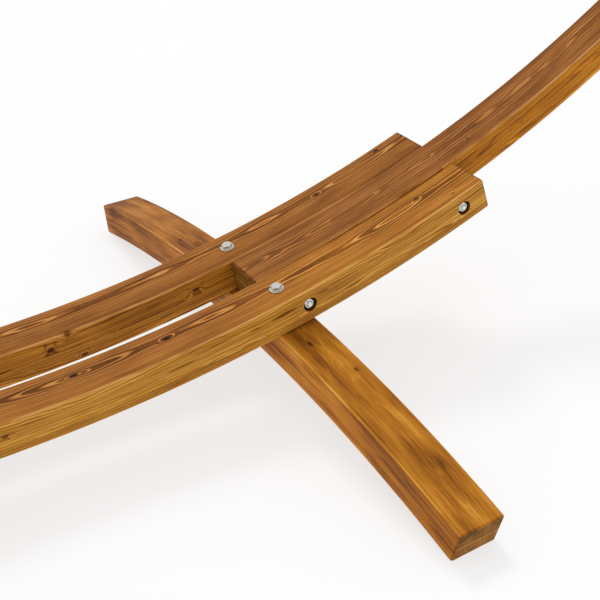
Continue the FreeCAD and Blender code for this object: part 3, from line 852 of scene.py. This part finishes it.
class HAMMOCK_OT_arms(bpy.types.Operator):
    """Makes the two arms with their bolt holes and the recess for each eye bolt's nut"""
    bl_idname = "hammock_stand.arms"
    bl_label = "Arms"

    def execute(self, context):
        lay, stand, holes = Layout(), settings("stand"), settings("hardware")
        width = settings("timber").width
        short_of_end = 0.001
        arm_hole = bore((M10["r"] + holes.hole_play, width + PAST_FACE))
        eye_hole = bore((M10["washer_r"] + holes.hole_play, holes.spot_face),
                        (M10["r"] + holes.hole_play, lay.through))
        nut_pocket = bore((holes.pocket_radius, holes.pocket_depth), chamfer=holes.pocket_chamfer)
        for name, side in SIDES.items():
            centre = Vector((side * lay.arm_centre.x, 0, lay.arm_centre.z))
            low, high = sorted((side * stand.arm_start, side * lay.tip))
            material = larch(
                f"larch_{name}_arm", centre, 0.0, ends=(low * lay.middle, high * lay.middle),
                seed=11.0 if side > 0 else 14.0, figure=(0, 0.004, -0.030), contrast=0.95,
                joint_shade_reach=stand.beam_end * lay.middle - short_of_end, tones=(-0.04, 0.04, 0.0),
                tints=((0.83, 0.76, 1.30), (1.0, 0.84, 0.25), (1, 1, 1)),
                knots=((side * 0.939, -0.019, 0.003, 0.004, 0.002, 0.006),
                       (side * 1.55, 0.012, 0.004, 0.007, 0.004, 0.010)))
            arm = timber(name + "_arm_timber", centre, low, high, material)
            for point in lay.arm_bolts:
                drill(arm, Vector((side * point.x, -width / 2, point.z)), Y_AXIS, arm_hole)
            out = radial(side * lay.eye)
            drill(arm, centre + out * lay.inner, out, eye_hole)
            drill(arm, centre + out * lay.outer, -out, nut_pocket)
            show(shade(arm), "stand", "larch", name + "_arm")
        return {"FINISHED"}


class HAMMOCK_OT_feet(bpy.types.Operator):
    """Makes the two arched cross feet, let into under the side beams and trimmed to the ground"""
    bl_idname = "hammock_stand.feet"
    bl_label = "Cross feet"

    def execute(self, context):
        lay, stand, holes = Layout(), settings("stand"), settings("hardware")
        reach = lay.foot_half * lay.middle
        into_beam, below_ground, mid_pocket = 0.03, 0.12, 0.012
        bolt_hole = bore((M10_WIDE["r"] + holes.hole_play, holes.foot_nut_seat),
                         (holes.foot_pocket_radius, below_ground), start=-into_beam)
        wide, deep = 0.9, 0.1
        ground = [(0.0, -deep), (wide, -deep), (wide, 0.0), (0.0, 0.0)]
        for name, side in SIDES.items():
            centre = Vector((side * lay.foot_x, 0, lay.foot_centre.z))
            down = radial(side * stand.foot_bolt)
            pocket = lay.beam_centre + down * (lay.outer + holes.foot_nut_seat + mid_pocket)
            material = larch(
                f"larch_{name}_foot", centre, centre.x, along="Y", ends=(-reach, reach),
                seed=20.0 if side > 0 else 25.0, figure=(3, 0.004, -0.030), contrast=0.32, mottle=1.15,
                drift={"start": -0.08, "stop": 0.15, "tone": -0.10, "tint": (0.96, 0.98, 1.9), "on_sides": 1},
                tones=(0.0, 0.09, 0.0), tints=((1, 1, 1), (1.08, 0.92, 0.50), (1.0, 0.93, 0.65)),
                boards=(0.05, 0.04, 0.0, -0.15),
                # Painted shade in the pockets for the foot bolts' nuts.
                recesses=[(Vector((pocket.x, lay.beam_y, 0)), holes.foot_pocket_radius + 0.0015, into_beam)],
                knots=((-0.245, 0.020, 0.057, 0.006, 0.0036, 0.010),
                       (-0.158, -0.008, 0.058, 0.005, 0.0028, 0.010),
                       (0.268, -0.016, 0.058, 0.004, 0.0022, 0.010),
                       (0.428, 0.023, 0.058, 0.003, 0.0018, 0.008)))
            foot = timber(name + "_foot_timber", centre, -lay.foot_half, lay.foot_half, material,
                          turn=(math.pi, 0, math.pi / 2))
            seat = timber("seat", Vector((0, 0, lay.beam_centre.z)), *sorted((0.0, side * stand.beam_end)),
                          width=2 * (lay.beam_outer_y + stand.side_gap), rounded=False)
            combine(foot, seat, "DIFFERENCE")
            drill(foot, Vector((side * lay.foot_x, 0, 0)), Z_AXIS, ground)
            for y in (-lay.beam_y, lay.beam_y):
                drill(foot, lay.beam_centre + down * lay.outer + Y_AXIS * y, down, bolt_hole)
            show(shade(foot), "stand", "larch", name + "_foot")
        return {"FINISHED"}


def hexagon(flats, limit=1.0):
    """A radius that draws a hexagon, turned down to a circle where the limit is smaller."""
    def radius(angle):
        corner = (angle + math.pi / 6) % (math.pi / 3) - math.pi / 6
        return min(flats / 2 / math.cos(corner), limit)
    return radius


def chamfer_rings(flats, face):
    """(radius, fall) rings from a hexagon's full corners in to the circle of its face."""
    corner = flats / math.sqrt(3)
    limits = [corner + (face - corner) * share for share in (0.0, 0.25, 0.5, 0.75, 1.0)]
    return [(hexagon(flats, limit), (limit - face) * CHAMFER_SLOPE) for limit in limits]


def head_outline(size):
    """The rings of a hex head from its washer face at z = 0 up to its chamfered top."""
    flats, top = size["flats"], size["head"]
    washer_face, crown = flats * 0.475, 0.0002
    foot = [(washer_face, 0.0), (washer_face, 0.0003), (hexagon(flats), 0.0004)]
    chamfer = [(radius, top - crown - fall) for radius, fall in chamfer_rings(flats, flats * 0.46)]
    return foot + chamfer + [(flats * 0.44, top), (NEAR_AXIS, top)]


def thread_outline(size, start, end):
    """The rings of a helical thread, up from start to end."""
    steps = math.ceil((end - start) / size["pitch"] * 6)
    rings = []
    for i in range(steps + 1):
        height = start + (end - start) * i / steps
        fade = min(1.0, i / 4, (steps - i) / 4)

        def radius(angle, height=height, fade=fade):
            turn = (height / size["pitch"] - angle / (2 * math.pi)) % 1.0
            return size["r"] - THREAD_DEPTH * fade * (1 - abs(2 * turn - 1))
        rings.append((radius, height))
    return rings


def bolt_mesh(name, size, grip, threaded):
    """A hex bolt: its head stands on z = 0 and its shank reaches down."""
    outline = [(NEAR_AXIS, -grip), (size["r"] - THREAD_POINT, -grip),
               (size["r"] - 0.0001, THREAD_POINT - grip)]
    outline += thread_outline(size, THREAD_POINT + 0.0001 - grip, threaded - grip)
    outline += [(size["r"], threaded + 0.0005 - grip), (size["r"], -0.0001)]
    return turned_mesh(name, outline + head_outline(size), segments=72)


def nut_mesh(name, size):
    """A hex nut standing on z = 0, chamfered on both faces."""
    flats, tall, mouth = size["flats"], size["nut"], 0.0006
    wide, narrow = size["r"] + 0.0007, size["r"] + 0.00008
    outer = chamfer_rings(flats, flats * 0.44)[::-1]
    outline = outer + [(radius, tall - fall) for radius, fall in reversed(outer)]
    outline += [(wide, tall), (narrow, tall - mouth), (narrow, mouth), (wide, 0.0)]
    return turned_mesh(name, outline, closed=True, segments=72)


def washer_mesh(name, size):
    """A stamped washer standing on z = 0: rolled over at its upper rim, sharp at its lower one."""
    outside, thick, bore = size["washer_r"], size["washer_t"], size["r"] + 0.0005
    roll = 0.0005
    rim = [(outside - roll * (1 - math.cos(a)), thick - roll * (1 - math.sin(a)))
           for a in (math.radians(d) for d in (0, 30, 60, 90))]
    outline = [(bore, 0.0), (outside, 0.0)] + rim + [(bore + 0.0002, thick), (bore, thick - 0.0002)]
    return turned_mesh(name, outline, closed=True, segments=64)


def eye_mesh(name, size, reach):
    """An eye bolt: its eye's centre at the origin, its axis along Y, and its shank up Z."""
    mesh = bmesh.new()
    eye, wire = settings("hardware").eye_radius, size["r"]
    around, about = 72, 28
    rings = []
    for i in range(around):
        turn = 2 * math.pi * i / around
        ring = []
        for j in range(about):
            angle = 2 * math.pi * j / about
            out = eye + wire * math.cos(angle)
            ring.append((out * math.sin(turn), wire * math.sin(angle), out * math.cos(turn)))
        rings.append(ring)
    ring_surface(mesh, rings, True)
    collar = [(NEAR_AXIS, 0.0190), (0.0040, 0.0195), (0.0046, 0.0215), (0.0056, 0.0233), (0.0068, 0.0247),
              (0.0075, 0.0252), (0.0075, 0.0262), (0.0072, 0.0265), (size["r"], 0.0265)]
    shank = thread_outline(size, reach - 0.034, reach - THREAD_POINT - 0.0001)
    point = [(size["r"] - 0.0001, reach - THREAD_POINT), (size["r"] - THREAD_POINT, reach),
             (NEAR_AXIS, reach)]
    return plain_mesh(name, mesh), turned_mesh(name + "_shank", collar + shank + point, segments=56)


def fasteners(mesh, places, node):
    """One node's fasteners, set out and handed to the frame."""
    piece = set_out(node + "_zinc", mesh, places, shared(zinc_plate))
    show(shade(piece, METAL_EDGE), "stand", "zinc_steel", node)


class HAMMOCK_OT_foot_bolts(bpy.types.Operator):
    """Makes the bolts that hold the side beams down on the feet, with their washers and nuts"""
    bl_idname = "hammock_stand.foot_bolts"
    bl_label = "Foot bolts"

    def execute(self, context):
        lay, stand, holes = Layout(), settings("stand"), settings("hardware")
        washer_seat = lay.inner + holes.spot_face
        head_seat = washer_seat - M10_WIDE["washer_t"]
        low_seat = lay.outer + holes.foot_nut_seat
        nut_seat = low_seat + M10_WIDE["washer_t"]
        beyond_nut, threaded = 0.003, 0.03
        grip = nut_seat + M10_WIDE["nut"] + beyond_nut - head_seat
        for name, side in SIDES.items():
            down = radial(side * stand.foot_bolt)

            def places(distance, axis):
                return [(lay.beam_centre + Y_AXIS * y + down * distance, axis)
                        for y in (-lay.beam_y, lay.beam_y)]
            for node, mesh, distance, axis in (
                    ("foot_bolts", bolt_mesh("bolt", M10_WIDE, grip, threaded), head_seat, -down),
                    ("foot_bolt_washers", washer_mesh("washer", M10_WIDE), washer_seat, -down),
                    ("foot_nut_washers", washer_mesh("washer", M10_WIDE), low_seat, down),
                    ("foot_nuts", nut_mesh("nut", M10_WIDE), nut_seat, down)):
                fasteners(mesh, places(distance, axis), f"{name}_{node}")
        return {"FINISHED"}


class HAMMOCK_OT_arm_bolts(bpy.types.Operator):
    """Makes the bolts that clamp each arm between the side beams, with their washers and nuts"""
    bl_idname = "hammock_stand.arm_bolts"
    bl_label = "Arm bolts"

    def execute(self, context):
        lay, holes = Layout(), settings("hardware")
        seat = lay.beam_outer_y - holes.pocket_depth
        head_seat = seat + M10["washer_t"]
        threaded = 0.026
        grip = 2 * head_seat + M10["nut"] + BEYOND_NUT
        for name, side in SIDES.items():
            def places(y, axis):
                return [(Vector((side * p.x, y, p.z)), axis) for p in lay.arm_bolts]
            for node, mesh, y, axis in (
                    ("arm_bolts", bolt_mesh("bolt", M10, grip, threaded), head_seat, Y_AXIS),
                    ("arm_bolt_washers", washer_mesh("washer", M10), seat, Y_AXIS),
                    ("arm_nut_washers", washer_mesh("washer", M10), -seat, -Y_AXIS),
                    ("arm_nuts", nut_mesh("nut", M10), -head_seat, -Y_AXIS)):
                fasteners(mesh, places(y, axis), f"{name}_{node}")
        return {"FINISHED"}


class HAMMOCK_OT_eye_bolts(bpy.types.Operator):
    """Makes the eye bolts near the arms' tips, with their washers and nuts"""
    bl_idname = "hammock_stand.eye_bolts"
    bl_label = "Eye bolts"

    def execute(self, context):
        lay, stand, holes = Layout(), settings("stand"), settings("hardware")
        for name, side in SIDES.items():
            centre = Vector((side * lay.arm_centre.x, 0, lay.arm_centre.z))
            out = radial(side * lay.eye)
            back = lay.outer - holes.pocket_depth
            fasteners(washer_mesh("washer", M10), [
                (centre + out * (lay.inner + holes.spot_face), -out), (centre + out * back, out)],
                name + "_eye_washers")
            nut_seat = centre + out * (back + M10["washer_t"])
            fasteners(nut_mesh("nut", M10), [(nut_seat, out)], name + "_eye_nut")
            eye_centre = centre + out * (lay.inner - stand.eye_rise)
            reach = stand.eye_rise + back + M10["washer_t"] + M10["nut"] + BEYOND_NUT - lay.inner
            ring, shank = eye_mesh("eye", M10, reach)
            turn = Matrix((Y_AXIS.cross(out), Y_AXIS, out)).transposed()
            place = Matrix.Translation(eye_centre) @ turn.to_4x4()
            ring.transform(place)
            shank.transform(place)
            bolt = combine(new_piece(name + "_eye_bolt_zinc", ring), new_piece("shank", shank), "UNION")
            bolt.data.materials.clear()
            bolt.data.materials.append(shared(zinc_plate))
            show(shade(bolt, METAL_EDGE), "stand", "zinc_steel", name + "_eye_bolt")
        return {"FINISHED"}


def finish_node(node, material):
    """Gives a carried-over node its material."""
    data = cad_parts[node].data
    data.materials.clear()
    data.materials.append(material)


class HAMMOCK_OT_snap_hooks(bpy.types.Operator):
    """Gives each snap hook's body, gate, rivet and spring their bright finish"""
    bl_idname = "hammock_stand.snap_hooks"
    bl_label = "Snap hooks"

    def execute(self, context):
        for name in SIDES:
            for node in ("hook_body", "hook_gate", "hook_gate_pin", "hook_gate_spring"):
                finish_node(f"{name}_{node}", shared(bright_wire))
        return {"FINISHED"}


class HAMMOCK_OT_stage(bpy.types.Operator):
    """Makes the floor, the soft lights and the camera"""
    bl_idname = "hammock_stand.stage"
    bl_label = "Stage"

    def execute(self, context):
        self.floor()
        self.lights()
        self.camera()
        return {"FINISHED"}

    def floor(self):
        mesh = bmesh.new()
        bmesh.ops.create_circle(mesh, cap_ends=True, segments=96, radius=40.0)
        data = bpy.data.meshes.new("floor")
        mesh.to_mesh(data)
        mesh.free()
        material, tree, shader = new_material("floor", specular=0.0)
        place = tree.node("ShaderNodeTexCoord", output="Object")
        mottle = tree.noise(place, scale=3.0, detail=3.0)
        pale = tuple(settings("finish").floor)
        lit = tree.blend(mottle, tuple(c * 0.295 for c in pale), tuple(c * 0.30 for c in pale))
        tree.feed(shader.inputs["Base Color"], lit)
        tree.feed(shader.inputs["Emission Color"], lit)
        shader.inputs["Emission Strength"].default_value = 2.5
        shader.inputs["Roughness"].default_value = 1.0
        data.materials.append(material)
        floor = new_piece("floor", data)

    def lights(self):
        scene = bpy.context.scene
        world = bpy.data.worlds.new("studio")
        world.use_nodes = True
        world.node_tree.nodes["Background"].inputs["Color"].default_value = (1.0, 1.0, 1.0, 1.0)
        world.node_tree.nodes["Background"].inputs["Strength"].default_value = 0.85
        scene.world = world
        scene.view_settings.view_transform = "Standard"
        light = bpy.data.lights.new("overhead", "SUN")
        light.angle = math.radians(17)
        light.energy = 1.15
        lamp = bpy.data.objects.new("overhead", light)
        lamp.location = (0, 1, 4)
        lamp.rotation_euler = (math.radians(-40), 0, math.radians(-12))
        # Its reflection would burn out the bolts' heads
        lamp.visible_glossy = False
        scene.collection.objects.link(lamp)

    def camera(self):
        data = bpy.data.cameras.new("view")
        data.sensor_width = 36.0
        data.lens = 65.88
        data.clip_end = 100.0
        camera = bpy.data.objects.new("view", data)
        camera.location = (-0.3469, -1.3655, 1.1226)
        camera.rotation_euler = (math.radians(57.55), 0.0, math.radians(-33.0))
        bpy.context.scene.collection.objects.link(camera)
        bpy.context.scene.camera = camera


OPERATORS = (
    HAMMOCK_OT_stage, HAMMOCK_OT_side_beams, HAMMOCK_OT_arms, HAMMOCK_OT_feet,
    HAMMOCK_OT_foot_bolts, HAMMOCK_OT_arm_bolts, HAMMOCK_OT_eye_bolts, HAMMOCK_OT_snap_hooks,
)


class HAMMOCK_PT_stand(bpy.types.Panel):
    """Lists the stand's pieces and sizes."""
    bl_idname = "HAMMOCK_PT_stand"
    bl_label = "Hammock stand"
    bl_space_type = "VIEW_3D"
    bl_region_type = "UI"
    bl_category = "Hammock stand"

    def draw(self, context):
        for operator in OPERATORS:
            self.layout.operator(operator.bl_idname)
        for name, group in SETTINGS.items():
            box = self.layout.box()
            for key in group.__annotations__:
                box.prop(settings(name), key)


CLASSES = (*SETTINGS.values(), *OPERATORS, HAMMOCK_PT_stand)


def register():
    for cls in CLASSES:
        bpy.utils.register_class(cls)
    for name, group in SETTINGS.items():
        setattr(bpy.types.Scene, "hammock_stand_" + name, PointerProperty(type=group))


def unregister():
    for name in SETTINGS:
        delattr(bpy.types.Scene, "hammock_stand_" + name)
    for cls in reversed(CLASSES):
        bpy.utils.unregister_class(cls)


def main():
    register()
    for operator in OPERATORS:
        module, name = operator.bl_idname.split(".")
        getattr(getattr(bpy.ops, module), name)()


if __name__ == "__main__":
    main()
